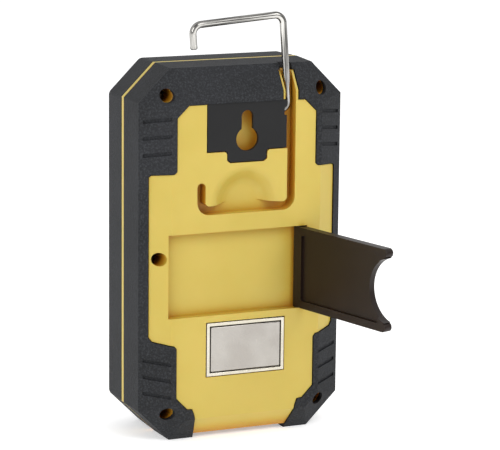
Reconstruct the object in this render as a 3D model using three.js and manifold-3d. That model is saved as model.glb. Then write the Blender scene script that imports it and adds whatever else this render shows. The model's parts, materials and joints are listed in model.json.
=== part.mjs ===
// Rugged pocket work light: two-part case with soft bumpers, LED panel on the front,
// and a swing-out wire hook, keyhole plate, folding stand and bar magnet on the back.
// Millimetres, +Z up. The lit front faces -Y and the back faces +Y. The origin is the
// middle of the front bumper's flat foot, on the surface that the light stands on.
import * as THREE from 'three';
import { mergeVertices } from 'three/addons/utils/BufferGeometryUtils.js';
import Module from 'manifold-3d';

const wasm = await Module();
wasm.setup();

// ---------- driving dimensions ----------
const gap = 0.3; // clearance between pieces that touch
const bodyWidth = 80;
const bodyHeight = 137;
const halfDepth = 21; // from the seam to the back face, and to the front face
const cornerCut = 12; // leg of the 45 degree corners
const bevelDepth = 6.4; // how far the sloped rim drops from the flat face
const draft = 0.4; // taper of the side walls, seam to rim; the underside has none and stands flat
const bumperWall = 2.0;
const bumperProud = 0.5; // how far the bumper stands above the hard shell
const shellWall = 2.2;
const foot = 1.7; // height of the hard shell's base above the standing surface

const seamBead = 1.9; // visible thickness of the rear shell's flange
const seamLip = 0.6; // part of the bead in front of the seam plane
const seamShy = 0.1; // how far the bead stays inside the bumpers

const backSideInset = 10.7; // flat back face: inset from the sides, lower and upper edge, corner leg
const backLow = 8.5;
const backHighInset = 9.6;
const backCorner = 5.4;
const frontSideInset = 9; // flat front face, the same four sizes
const frontLow = 7.5;
const frontHighInset = 8;
const frontCorner = 6.5;

const panelInset = 12.7; // hard panel between the corner pads of the back, from the sides and the top
const panelTopInset = 13;
const panelFootInset = 22;
const panelSideInset = 3.5; // where it widens to between the pads
const panelWaistInset = 38; // wide part's upper edge, from the top
const panelRise = 0.6; // slant of that edge
const panelDip = 1.8; // slant of the wide part's lower edge

const grooveWidth = 1.3; // grip grooves of the corner pads
const grooveDepth = 0.6;
const grooveSlant = 1.3;
const groovePitch = 6.1;
const grooveFirst = 37.4; // lowest groove's distance from mid height

const wellRadius = 2.5; // screw wells in the corners and at mid height
const wellSideInset = 10;
const wellLow = 11.1;
const wellTopInset = 9.7;
const midWellInset = 7;
const screwRadius = 1.2;
const screwHeadRadius = 2.1;
const screwLength = 15;
const screwSeat = 8.5; // screw seat's distance behind the seam
const postRadius = 4.1;

const wire = 2.6; // hook wire diameter
const hookSide = 17.4; // hook leg's distance from the centre line
const hookPivotInset = 17; // pivot below the top
const hookReach = 34.7; // pivot to the middle of the bar
const hookBar = 35.1; // leg to return leg, middle to middle
const hookReturn = 8.6;
const hookBend = 3.2;
const hookPin = 10.4;
const hookDepth = 3.2; // wire centre below the back face
const hookCant = 2.25; // tilt of the pin, so that the hook stands askew and stows square
const channelRoom = 0.3; // room beside the wire in its channel

const plateHalf = 15.5;
const plateLowInset = 30.4; // plate and keyhole heights, from the top
const plateThickness = 1.5;
const tongueHalf = 7.6;
const tongueLowInset = 34.6;
const keySlot = 4.4;
const keyRound = 8.6;
const keyTopInset = 16;
const keyRoundInset = 26.4;
const keyRoom = 3.2; // depth behind the plate for a screw head

const scoopRadius = 12.5;
const scoopSlope = 5; // width of its sloping edge

const pocketLow = 46.6;
const pocketHigh = 77.3;
const pocketDepth = 3.9;
const standLength = 50.6; // hinge axis to the tips
const standThickness = 3.2;
const standHingeSide = 21.4;
const standOpen = 104.5; // degrees from closed to the stop
const standRim = 2.8;
const standHingeRim = 3.8;
const standPanelRecess = 0.9;
const standBite = 9.7; // depth of the curved finger edge
const standHorn = 3.3; // width of each tip
const pinRadius = 0.7;
const pinRoom = 0.25;

const magnetWidth = 30.6;
const magnetHeight = 19.8;
const magnetMiddle = 33.9;
const magnetWall = 1.2;
const magnetDepth = 3.9;

const lensWidth = 54;
const lensTopInset = 18;
const lensFootInset = 37;
const lensThickness = 2;
const lensCorner = 7;
const ledgeWidth = 2.2;
const boardThickness = 1.6;
const trayDrop = 3.1; // from the lens to the reflector tray
const trayDepth = 3.4;
const switchDrop = 9.2; // from the front face to the switch board
const switchBoardThickness = 1.2;

const buttonRadius = 6.7;
const buttonHeight = 19.5;
const buttonTravel = 1;
const buttonProud = 0.9;

const cellRadius = 9.15;
const cellLength = 65;
const cellPitch = 20;
const cellBottom = 20.6;
const cellInset = 16.4; // cell axis below the back face
const finRoom = 1.5; // air between the heat sink's fins and the cells
const cradleHalf = 19.4;
const cradleDeep = 8.4; // half of the cradle's depth

const portInset = 31; // socket's middle below the top
const portMiddle = 6.2; // socket's middle behind the seam
const boardDrop = 3.5; // from there to the front face of the driver board
const portOpening = { tall: 9.6, deep: 4.2 };
const portCover = { tall: 13, deep: 7.4, thick: 1.4 };

// ---------- places that follow from them ----------
const halfWidth = bodyWidth / 2;
const backHalf = halfWidth - backSideInset;
const frontHalf = halfWidth - frontSideInset;
const panelHalf = halfWidth - panelInset;
const panelFootHalf = halfWidth - panelFootInset;
const panelSideHalf = halfWidth - panelSideInset;
const panelWaistHigh = bodyHeight - panelWaistInset;
const wellSide = halfWidth - wellSideInset;
const midWellSide = halfWidth - midWellInset;
const hookPivotHeight = bodyHeight - hookPivotInset;
const plateLow = bodyHeight - plateLowInset;
const tongueLow = bodyHeight - tongueLowInset;
const keyTop = bodyHeight - keyTopInset;
const keyRoundHeight = bodyHeight - keyRoundInset;
const lensHeight = bodyHeight - lensTopInset - lensFootInset;
const lensMiddle = lensFootInset + lensHeight / 2;
const portHeight = bodyHeight - portInset;
const driverLow = bodyHeight - 45; // driver board's lower and upper edge
const driverHigh = bodyHeight - 16;
// the foot runs from the seam bead to the front rim, and its middle is the origin
const seamY = (halfDepth - bevelDepth + seamLip + gap) / 2;
const backY = seamY + halfDepth;
const frontY = seamY - halfDepth;
const backRimY = backY - bevelDepth;
const frontRimY = frontY + bevelDepth;
const panelTop = bodyHeight - panelTopInset;
const midHeight = (wellLow + bodyHeight - wellTopInset) / 2 - 0.8;
const coreInset = bumperWall + gap;
const wells = [
  [wellSide, wellLow],
  [-wellSide, wellLow],
  [wellSide, bodyHeight - wellTopInset],
  [-wellSide, bodyHeight - wellTopInset],
  [midWellSide, midHeight],
  [-midWellSide, midHeight],
];
const hookX = -hookSide;
const hookY = backY - hookDepth;
const barStowed = hookPivotHeight - hookReach;
const channelHalf = wire / 2 + channelRoom;
const channelFloor = hookY - channelHalf - 0.1;
const standX = -standHingeSide;
const standY = backY - 0.2 - standThickness / 2;
const cellY = backY - cellInset;
const driverY = seamY + portMiddle - boardDrop; // driver board's front face
const switchBoardY = frontY + switchDrop;
const trayFront = frontY + lensThickness + trayDrop;
const ledBoardY = trayFront + trayDepth + gap;
const rad = THREE.MathUtils.degToRad;

// ---------- solids ----------
const solid = (geometry) => {
  const bare = geometry.clone();
  bare.deleteAttribute('normal');
  bare.deleteAttribute('uv');
  const merged = mergeVertices(bare, 1e-4);
  return new wasm.Manifold(new wasm.Mesh({
    numProp: 3,
    vertProperties: new Float32Array(merged.attributes.position.array),
    triVerts: new Uint32Array(merged.index.array),
  }));
};

const join = (first, ...rest) => rest.reduce((sum, next) => sum.add(next), first);
const cut = (first, ...rest) => rest.reduce((left, next) => left.subtract(next), first);

const toGeometry = (made) => {
  const { vertProperties, triVerts, numProp } = made.getMesh();
  const points = new Float32Array(triVerts.length * 3);
  triVerts.forEach((vertex, i) => {
    for (let k = 0; k < 3; k += 1) points[i * 3 + k] = vertProperties[vertex * numProp + k];
  });
  const geometry = new THREE.BufferGeometry();
  geometry.setAttribute('position', new THREE.BufferAttribute(points, 3));
  geometry.computeVertexNormals();
  return geometry;
};

const boxGeometry = (x, y, z) => {
  const made = new THREE.BoxGeometry(x[1] - x[0], y[1] - y[0], z[1] - z[0]);
  return made.translate((x[0] + x[1]) / 2, (y[0] + y[1]) / 2, (z[0] + z[1]) / 2);
};
const box = (x, y, z) => solid(boxGeometry(x, y, z));

// a rod along one axis, from a to b, centred on the other two coordinates in axis order
const rod = (axis, radius, a, b, [p, q], sides = 32, endRadius = radius) => {
  const made = new THREE.CylinderGeometry(endRadius, radius, b - a, sides);
  made.translate(0, (a + b) / 2, 0);
  if (axis === 'x') made.rotateZ(-Math.PI / 2).translate(0, p, q);
  if (axis === 'y') made.translate(p, 0, q);
  if (axis === 'z') made.rotateX(Math.PI / 2).translate(p, q, 0);
  return solid(made);
};

// a flat outline in X and Z, carried along Y
const slab = (outline, y0, y1, curveSegments = 10) => {
  const made = new THREE.ExtrudeGeometry(outline, {
    depth: y1 - y0, bevelEnabled: false, curveSegments, steps: 1,
  });
  return solid(made.rotateX(Math.PI / 2).translate(0, y1, 0));
};

const outlineOf = (points) => new THREE.Shape(points.map(([x, z]) => new THREE.Vector2(x, z)));
const mirrored = (half) => [...half, ...half.map(([x, z]) => [-x, z]).reverse()];

const roundedRect = (width, height, radius, x = 0, z = 0) => {
  const shape = new THREE.Shape();
  const w = width / 2;
  const h = height / 2;
  shape.absarc(x + w - radius, z + h - radius, radius, 0, Math.PI / 2);
  shape.absarc(x - w + radius, z + h - radius, radius, Math.PI / 2, Math.PI);
  shape.absarc(x - w + radius, z - h + radius, radius, Math.PI, 1.5 * Math.PI);
  shape.absarc(x + w - radius, z - h + radius, radius, 1.5 * Math.PI, 2 * Math.PI);
  return shape;
};

// eight-sided sections { y, half, low, high, corner } joined into one closed body
const loft = (sections) => {
  const points = [];
  sections.forEach(({ y, half, low, high, corner }) => {
    points.push(
      [half - corner, y, low], [half, y, low + corner],
      [half, y, high - corner], [half - corner, y, high],
      [-half + corner, y, high], [-half, y, high - corner],
      [-half, y, low + corner], [-half + corner, y, low],
    );
  });
  const faces = [];
  const last = (sections.length - 1) * 8;
  for (let i = 1; i < 7; i += 1) {
    faces.push(0, i, i + 1, last, last + i + 1, last + i);
  }
  for (let s = 0; s < last; s += 8) {
    for (let i = 0; i < 8; i += 1) {
      const j = (i + 1) % 8;
      faces.push(s + i, s + 8 + i, s + 8 + j, s + i, s + 8 + j, s + j);
    }
  }
  const geometry = new THREE.BufferGeometry();
  geometry.setAttribute('position', new THREE.Float32BufferAttribute(points.flat(), 3));
  geometry.setIndex(faces);
  return solid(geometry);
};

const root = new THREE.Group();
const add = (name, made, colour, { roughness = 0.5, metalness = 0, parent = root } = {}) => {
  const geometry = made instanceof wasm.Manifold ? toGeometry(made) : made;
  const material = new THREE.MeshStandardMaterial({ color: colour, roughness, metalness });
  const mesh = new THREE.Mesh(geometry, material);
  mesh.name = name;
  parent.add(mesh);
  return mesh;
};
const yellow = '#dcc564';
const black = '#35363a';
const steel = '#c9c6c0';

// ---------- case outline ----------
// Half of the body, offset inwards by inset. The slope of the rim stays the same distance inside.
const halfBody = (inset, side) => {
  const rear = side > 0;
  const flatHalf = rear ? backHalf : frontHalf;
  const flatLow = rear ? backLow : frontLow;
  const flatHigh = bodyHeight - (rear ? backHighInset : frontHighInset);
  const flatCorner = rear ? backCorner : frontCorner;
  const slope = Math.atan2(bevelDepth, halfWidth - draft - flatHalf);
  const rimBack = inset * (1 - Math.sin(slope)) / Math.cos(slope);
  const flatIn = inset * (1 - Math.cos(slope)) / Math.sin(slope);
  const cornerIn = inset * (2 - Math.SQRT2);
  return [
    {
      y: seamY,
      half: halfWidth - inset,
      low: inset,
      high: bodyHeight - inset,
      corner: cornerCut - cornerIn,
    },
    {
      y: (rear ? backRimY + bumperProud : frontRimY - bumperProud) - side * rimBack,
      half: halfWidth - draft - inset,
      low: inset,
      high: bodyHeight - draft - inset,
      corner: cornerCut - cornerIn,
    },
    {
      y: (rear ? backY + bumperProud : frontY - bumperProud) - side * inset,
      half: flatHalf - flatIn,
      low: flatLow + flatIn,
      high: flatHigh - flatIn,
      corner: flatCorner - flatIn / 2,
    },
  ];
};
const rearBody = (inset, extra = 0) => {
  const sections = halfBody(inset, 1);
  if (extra) sections.unshift({ ...sections[0], y: seamY - extra });
  return loft(sections);
};
const frontBody = (inset, extra = 0) => {
  const sections = halfBody(inset, -1);
  if (extra) sections.unshift({ ...sections[0], y: seamY + extra });
  return loft(sections.reverse());
};

// the hard panel between the corner pads, shrunk by room on every edge
const panelOutline = (room, footHalf = panelFootHalf) => {
  const low = 2 * midHeight - panelWaistHigh;
  const high = panelWaistHigh;
  const foldLow = wellLow + 1.2;
  return outlineOf(mirrored([
    [footHalf - room, -1],
    [panelFootHalf + 2.3 - room, foldLow - 2],
    [panelFootHalf + 3.1 - room, foldLow + room * 0.4],
    [panelHalf - 4.4 - room * 0.4, foldLow + room],
    [panelHalf - room, foldLow + 4.6],
    [panelHalf - room, low - panelDip - 0.6],
    [panelHalf + 0.6, low - panelDip + 0.2 + room],
    [panelSideHalf - 1.2 - room * 0.6, low + room],
    [panelSideHalf - room, low + 1.6 + room * 0.6],
    [panelSideHalf - room, high - 0.8 - room * 0.6],
    [panelSideHalf - 0.8 - room * 0.6, high - room],
    [panelHalf + 0.6, high + panelRise - room],
    [panelHalf - room, high + panelRise + 0.6],
    [panelHalf - room, panelTop - 4.6],
    [panelHalf - 4.6 - room * 0.4, panelTop - room],
  ]));
};

// ---------- hook: one wire, bent in a plane and hinged on its pin ----------
const filleted = (corners, radius) => {
  const path = new THREE.CurvePath();
  let from = corners[0];
  for (let i = 1; i < corners.length - 1; i += 1) {
    const before = corners[i - 1].clone().sub(corners[i]).normalize();
    const after = corners[i + 1].clone().sub(corners[i]).normalize();
    const angle = before.angleTo(after);
    const reach = radius / Math.tan(angle / 2);
    const pull = reach - radius * (4 / 3) * Math.tan((Math.PI - angle) / 4);
    const start = corners[i].clone().addScaledVector(before, reach);
    const end = corners[i].clone().addScaledVector(after, reach);
    path.add(new THREE.LineCurve3(from, start));
    path.add(new THREE.CubicBezierCurve3(
      start, corners[i].clone().addScaledVector(before, pull),
      corners[i].clone().addScaledVector(after, pull), end,
    ));
    from = end;
  }
  path.add(new THREE.LineCurve3(from, corners[corners.length - 1]));
  return path;
};
const circle = (radius) => new THREE.Shape().absarc(0, 0, radius, 0, 2 * Math.PI);
const tube = (corners, bend, radius, steps, sides) => new THREE.ExtrudeGeometry(circle(radius), {
  extrudePath: filleted(corners, bend), steps, curveSegments: sides, bevelEnabled: false,
});
const addHook = () => {
  // stowed square in its channel, then turned half round its canted pin to stand up
  const cant = rad(hookCant);
  const pinEnd = [hookPin * Math.cos(cant), hookPin * -Math.sin(cant)];
  const corners = [
    pinEnd, [0, 0], [0, -hookReach], [hookBar, -hookReach], [hookBar, hookReturn - hookReach],
  ].map(([x, z]) => new THREE.Vector3(x, 0, z));
  const hook = new THREE.Group();
  hook.position.set(hookX, hookY, hookPivotHeight);
  hook.setRotationFromAxisAngle(new THREE.Vector3(Math.cos(cant), 0, -Math.sin(cant)), Math.PI);
  root.add(hook);
  add('hook_wire', tube(corners, hookBend, wire / 2, 72, 6), steel, {
    roughness: 0.22, metalness: 1, parent: hook,
  });
};

// ---------- folding stand ----------
const addStand = () => {
  const low = pocketLow + 0.35;
  const high = pocketHigh - 0.35;
  const middle = (low + high) / 2;
  const chord = (high - low) / 2 - standHorn;
  const biteRadius = (chord * chord + standBite * standBite) / (2 * standBite);
  const biteX = standLength - standBite + biteRadius;
  const tip = standHorn / 2;
  const biteAngle = Math.asin(chord / biteRadius);
  const outline = new THREE.Shape();
  outline.moveTo(0, low);
  outline.lineTo(standLength - tip, low);
  outline.absarc(standLength - tip, low + tip, tip, -Math.PI / 2, Math.PI / 2 - 0.2);
  const sweep = biteAngle * 0.97;
  outline.absarc(biteX, middle, biteRadius, Math.PI + sweep, Math.PI - sweep, true);
  outline.absarc(standLength - tip, high - tip, tip, -Math.PI / 2 + 0.2, Math.PI / 2);
  outline.lineTo(0, high);
  const half = standThickness / 2;
  const leaf = slab(outline, -half, half, 16);
  const recess = slab(
    roundedRect(standLength - 4 - standHingeRim, high - low - 2 * standRim, 0.8,
      (standLength - 4 + standHingeRim) / 2, middle),
    -half - 1, -half + standPanelRecess,
  );
  const knuckle = rod('z', half, low, high, [0, 0], 24);
  const bore = rod('z', pinRadius + pinRoom, low - 1, high + 1, [0, 0], 16);
  const stand = new THREE.Group();
  stand.position.set(standX, standY, 0);
  stand.rotation.z = rad(standOpen);
  root.add(stand);
  add('kickstand', cut(join(leaf, knuckle), recess, bore), '#32281f', {
    roughness: 0.55, parent: stand,
  });
  const pin = rod('z', pinRadius, pocketLow - 2.6, pocketHigh + 2.6, [standX, standY], 16);
  add('stand_hinge_pin', pin, steel, { roughness: 0.3, metalness: 1 });
};

// ---------- recesses of the back ----------
const hookChannel = () => {
  const half = channelHalf;
  const legLeft = hookX - half;
  const legRight = hookX + half;
  const barLow = barStowed - half;
  const barHigh = barStowed + half;
  const returnX = hookX + hookBar;
  const returnTop = barStowed + hookReturn + half;
  const corner = hookBend + half;
  const outline = new THREE.Shape();
  outline.moveTo(legLeft, hookPivotHeight);
  outline.lineTo(legLeft, barLow + corner);
  outline.absarc(legLeft + corner, barLow + corner, corner, Math.PI, 1.5 * Math.PI);
  outline.absarc(returnX + half - corner, barLow + corner, corner, 1.5 * Math.PI, 2 * Math.PI);
  outline.absarc(returnX, returnTop - half, half, 0, Math.PI);
  outline.lineTo(returnX - half, barHigh + 1);
  outline.lineTo(returnX - half - 1, barHigh);
  outline.lineTo(legRight + 1, barHigh);
  outline.lineTo(legRight, barHigh + 1);
  outline.lineTo(legRight, hookPivotHeight);
  return slab(outline, channelFloor, backY + 3, 8);
};
// above the pivot the slot is wider towards the middle, so that the leaning leg stands clear
const leanRoom = Math.tan(rad(2 * hookCant)) * (bodyHeight - hookPivotHeight - 3.5) + 0.3;
const hookNotch = (room, depth, low) => box(
  [hookX - channelHalf - room, hookX + wire / 2 + leanRoom + room],
  [channelFloor - depth, backY + 6],
  [low, bodyHeight + 2],
);
const hookTab = (room) => box(
  [hookX - channelHalf - 1.1 + room, hookX + wire / 2 + leanRoom + 0.95 - room],
  [backRimY - 1, backY + 3],
  [panelTop - 1, bodyHeight - 2.7 - room],
);
const pinGroove = () => box(
  [hookX, hookX + hookPin + 0.8],
  [hookY - channelHalf, backY + 3],
  [hookPivotHeight - wire / 2 - 0.8, hookPivotHeight + wire / 2 + 0.5],
);
const plateOutline = (room) => {
  const edge = plateLow - room;
  const tongue = tongueHalf + room;
  return outlineOf(mirrored([
    [tongueHalf - 1, tongueLow - room],
    [tongue, tongueLow + 1 - room],
    [tongue, edge - 1],
    [tongue + 0.3, edge - 0.3],
    [tongue + 1, edge],
    [plateHalf + room, edge],
    [plateHalf + room, panelTop + room],
  ]));
};
const keyhole = (room, y0, y1) => {
  const slotTop = keyTop - keySlot / 2;
  const round = keyRound / 2 + room;
  const slot = keySlot / 2 + room;
  const neck = Math.asin(slot / round);
  const shape = new THREE.Shape();
  shape.absarc(0, slotTop, slot, 0, Math.PI);
  shape.absarc(0, keyRoundHeight, round, Math.PI / 2 + neck, Math.PI * 2.5 - neck);
  return slab(shape, y0, y1, 14);
};
const thumbScoop = () => {
  const middle = [0, barStowed + 2];
  const bowl = rod('y', scoopRadius - scoopSlope, channelFloor, backY + 0.01, middle, 48, scoopRadius);
  return bowl.intersect(box([-20, 20], [channelFloor - 1, backY + 5], [barStowed, bodyHeight]));
};
const pocket = (room, depth) => {
  const hinge = standX - standThickness / 2 - 1.2;
  return box(
    [hinge - room, standX + standLength + 0.9 + room],
    [backY - depth, backY + 3],
    [pocketLow - room, pocketHigh + room],
  );
};
const magnetSeat = (room, depth) => box(
  [-magnetWidth / 2 - room, magnetWidth / 2 + room],
  [backY - depth, backY + 3],
  [magnetMiddle - magnetHeight / 2 - room, magnetMiddle + magnetHeight / 2 + room],
);
const wellCuts = () => wells.flatMap(([x, z]) => [
  rod('y', wellRadius, seamY + screwSeat, backY + 5, [x, z], 28),
  rod('y', screwRadius + gap, seamY - 2, backY, [x, z], 16),
]);
const portSlot = (room) => {
  const tall = portOpening.tall / 2 + room;
  const deep = portOpening.deep / 2 + room;
  return box(
    [-halfWidth - 5, -halfWidth + coreInset + shellWall + 3],
    [seamY + portMiddle - deep, seamY + portMiddle + deep],
    [portHeight - tall, portHeight + tall],
  );
};

// ---------- rear shell ----------
const addRearShell = () => {
  const rim = halfBody(seamShy, 1)[0];
  const bead = loft([{ ...rim, y: seamY - seamLip }, { ...rim, y: seamY - seamLip + seamBead }]);
  const core = rearBody(coreInset);
  const skin = rearBody(bumperProud);
  const footTrim = box([-60, 60], [-60, 60], [-5, foot]);
  const face = skin.intersect(slab(panelOutline(gap), backRimY - 4, backY + 2)).subtract(footTrim);
  const tab = skin.intersect(hookTab(gap));
  const outer = join(core, face, tab);
  const cavity = loft(halfBody(coreInset + shellWall, 1).map((section, i) => (
    { ...section, y: i === 0 ? seamY - 3 : section.y - 0.6 }
  )));
  const boardPosts = [
    [-halfWidth + 9, driverLow + 3.5],
    [18, driverHigh - 4],
  ];
  const housings = join(
    pocket(1.8, pocketDepth + 1.8),
    magnetSeat(1.6, magnetDepth + 2),
    box(
      [-plateHalf - 2, plateHalf + 2],
      [backY - plateThickness - keyRoom - 2.1, backY],
      [plateLow - 2, panelTop + 1],
    ),
    box([hookX - 3.8, hookX + hookBar + 3.8], [channelFloor - 1.8, backY], [barStowed - 3.8, panelTop]),
    hookNotch(1.8, 1.8, panelTop - 1),
    ...wells.map(([x, z]) => rod('y', postRadius, seamY + 0.6, backY, [x, z], 24)),
    ...boardPosts.map(([x, z]) => rod('y', 2, driverY + boardThickness + gap, backY, [x, z], 20)),
    ...[cellBottom - 3, cellBottom + cellLength + 1.2].map((low) => box(
      [-cradleHalf + 2, cradleHalf - 2],
      [cellY + cradleDeep + gap, backY],
      [low, low + 1.4],
    )),
  ).intersect(outer);
  const recesses = [
    pocket(0, pocketDepth),
    magnetSeat(gap, magnetDepth),
    slab(plateOutline(gap), backY - plateThickness - gap, backY + 2),
    keyhole(1.4, backY - plateThickness - keyRoom, backY),
    hookChannel(),
    hookNotch(0, 0, hookPivotHeight - 3.2),
    pinGroove(),
    thumbScoop(),
    rod('z', pinRadius + 0.05 + gap, pocketLow - 3, pocketHigh + 3, [standX, standY], 16),
    portSlot(0),
    ...wellCuts(),
  ];
  const inner = box([-60, 60], [seamY - 5, seamY + 0.4], [-5, 200]).intersect(
    loft(halfBody(coreInset + shellWall, 1).map((section) => ({ ...section, y: section.y - 3 }))),
  );
  const shell = cut(join(cut(join(outer, bead), cavity, inner), housings), ...recesses);
  add('rear_shell', shell, yellow, { roughness: 0.42 });
};

// ---------- rear bumper ----------
// three shallow bars across each corner pad's slope, ending short of its outer edge
const padGrooves = (facing) => {
  const [y0, y1] = facing > 0 ? [backRimY - 3, backY + 5] : [frontY - 5, frontRimY + 3];
  const inside = facing > 0 ? rearBody(grooveDepth) : frontBody(grooveDepth);
  const bars = [];
  [1, -1].forEach((side) => [1, -1].forEach((up) => {
    for (let i = 0; i < 3; i += 1) {
      const off = grooveFirst + i * groovePitch;
      const bar = [[panelHalf + 2, off + grooveSlant], [halfWidth - 1.8, off]];
      const [inner, outer] = bar.map(([x, z]) => [side * x, midHeight + up * z]);
      const half = grooveWidth / 2;
      const corners = [
        [inner[0], inner[1] - half], [outer[0], outer[1] - half],
        [outer[0], outer[1] + half], [inner[0], inner[1] + half],
      ];
      bars.push(slab(outlineOf(side > 0 ? corners : corners.reverse()), y0, y1).subtract(inside));
    }
  }));
  return bars;
};
const addRearBumper = () => {
  const start = seamY + seamBead - seamLip + gap;
  const outer = rearBody(0);
  const behind = box([-60, 60], [-60, start], [-20, 200]);
  const core = rearBody(bumperWall, 5);
  const window = slab(panelOutline(0), backRimY - 6, backY + 5);
  const footGap = box([-panelFootHalf, panelFootHalf], [start - 1, backY + 5], [-5, backLow]);
  const tab = hookTab(-0.05);
  const cover = box(
    [-halfWidth - 5, -halfWidth + bumperWall + 1],
    [seamY + portMiddle - portCover.deep / 2 - gap, seamY + portMiddle + portCover.deep / 2 + gap],
    [portHeight - portCover.tall / 2 - gap, portHeight + portCover.tall / 2 + gap],
  );
  const holes = wells.map(([x, z]) => rod('y', wellRadius, seamY, backY + 5, [x, z], 28));
  const notch = hookNotch(gap, 3.4, panelTop);
  const openings = [window, footGap, tab, notch, cover, ...holes, ...padGrooves(1)];
  const bumper = cut(outer, behind, core, ...openings);
  add('rear_bumper', bumper, black, { roughness: 0.85 });
};

// ---------- front shell, bumper and lens ----------
const windowOutline = (room) => roundedRect(
  lensWidth + 2 * room, lensHeight + 2 * room, lensCorner + room, 0, lensMiddle,
);
const frontStart = seamY - seamLip - gap;
const gasketThickness = 0.8;
const frontPanel = (room) => {
  const lowFold = 18;
  const highFold = bodyHeight - 13;
  const waistLow = 48;
  const waistHigh = bodyHeight - 42;
  return outlineOf(mirrored([
    [14 - room, 9 + room],
    [19 - room, lowFold - 4.5],
    [frontHalf - 5, lowFold + room],
    [frontHalf - room, lowFold + 5],
    [frontHalf - room, waistLow - 2],
    [panelSideHalf - room, waistLow + 1 + room],
    [panelSideHalf - room, waistHigh - 1 - room],
    [frontHalf - room, waistHigh + 2],
    [frontHalf - room, highFold - 4],
    [frontHalf - 4, highFold - room],
  ]));
};
const addFront = () => {
  const shellStart = frontStart - gasketThickness - gap;
  const screwTip = seamY + screwSeat - screwLength - 1;
  const core = cut(frontBody(coreInset), box([-60, 60], [shellStart, 60], [-20, 200]));
  const face = frontBody(bumperProud).intersect(slab(frontPanel(gap), frontY - 2, frontRimY + 4));
  const outer = join(core, face);
  const cavity = loft(halfBody(coreInset + shellWall, -1).map((section, i) => (
    { ...section, y: i === 0 ? seamY + 3 : section.y + 0.8 }
  )).reverse());
  const posts = wells.map(([x, z]) => rod('y', postRadius, frontY + 2, shellStart, [x, z], 24));
  const sleeve = rod('y', buttonRadius + 3.2, frontY + 1, frontY + 4, [0, buttonHeight], 36);
  const shell = cut(
    join(cut(outer, cavity), join(...posts, sleeve).intersect(outer)),
    slab(windowOutline(gap), frontY - 3, frontY + lensThickness + gap + 0.8),
    slab(windowOutline(-ledgeWidth), frontY - 3, frontY + 9),
    rod('y', buttonRadius + gap, frontY - 3, frontY + 6, [0, buttonHeight], 36),
    rod('y', buttonRadius + 2.2, frontY - 3, frontY + 1.2, [0, buttonHeight], 36),
    rod('y', 1.1, frontY - 3, frontY + 6, [13, buttonHeight], 16),
    ...wells.map(([x, z]) => rod('y', screwRadius + gap, screwTip, seamY + 5, [x, z], 16)),
  );
  add('front_shell', shell, yellow, { roughness: 0.42 });

  const bumper = cut(
    frontBody(0),
    box([-60, 60], [frontStart, 60], [-20, 200]),
    frontBody(bumperWall, 5),
    slab(frontPanel(0), frontY - 5, frontRimY + 6),
    ...padGrooves(-1),
  );
  add('front_bumper', bumper, black, { roughness: 0.85 });

  const ring = halfBody(coreInset, -1)[0];
  const hole = halfBody(coreInset + 1.4, -1)[0];
  add('seam_gasket', cut(
    loft([{ ...ring, y: frontStart - gasketThickness }, { ...ring, y: frontStart }]),
    loft([{ ...hole, y: frontStart - 5 }, { ...hole, y: frontStart + 5 }]),
  ), '#4a4a4c', { roughness: 0.9 });

  add('lens', slab(windowOutline(0), frontY, frontY + lensThickness), '#e8eef0', { roughness: 0.1 });
  add('lens_gasket', cut(
    slab(windowOutline(0), frontY + lensThickness + 0.25, frontY + lensThickness + 0.95),
    slab(windowOutline(-1.4), frontY, frontY + 9),
  ), '#3a3a3a', { roughness: 0.9 });
};

// ---------- light engine ----------
const addLightEngine = () => {
  const width = lensWidth - 2;
  const height = lensHeight - 2;
  const opening = (y, grow) => ({
    y,
    half: lensWidth / 2 - 6 + grow,
    low: lensMiddle - lensHeight / 2 + 7 - grow,
    high: lensMiddle + lensHeight / 2 - 7 + grow,
    corner: 5,
  });
  add('reflector_tray', cut(
    slab(roundedRect(width, height, 4, 0, lensMiddle), trayFront, trayFront + trayDepth),
    loft([opening(trayFront - 0.01, 3.2), opening(trayFront + trayDepth + 0.01, 0)]),
  ), '#f0f0ee', { roughness: 0.3 });
  const boardBack = ledBoardY + boardThickness;
  const board = roundedRect(width, height, 2, 0, lensMiddle);
  add('led_board', slab(board, ledBoardY, boardBack), '#e6e6e0', { roughness: 0.4, metalness: 0.6 });
  const gel = roundedRect(lensWidth - 16, lensHeight - 20, 3, 0, lensMiddle);
  add('led_phosphor', slab(gel, ledBoardY - gap - 0.8, ledBoardY - gap), '#f2dc3c', { roughness: 0.6 });
  const sinkFront = boardBack + gap;
  const finTips = cellY - cellRadius - finRoom;
  const fins = [-4, -3, -2, -1, 0, 1, 2, 3, 4].map((i) => box(
    [i * 5.6 - 0.8, i * 5.6 + 0.8],
    [sinkFront + 1, finTips],
    [lensMiddle - lensHeight / 2 + 4, lensMiddle + lensHeight / 2 - 4],
  ));
  add('heat_sink', join(
    box(
      [-width / 2, width / 2],
      [sinkFront, sinkFront + 1.6],
      [lensMiddle - height / 2, lensMiddle + height / 2],
    ),
    ...fins,
  ), '#a9acae', { roughness: 0.4, metalness: 1 });
};

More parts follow.
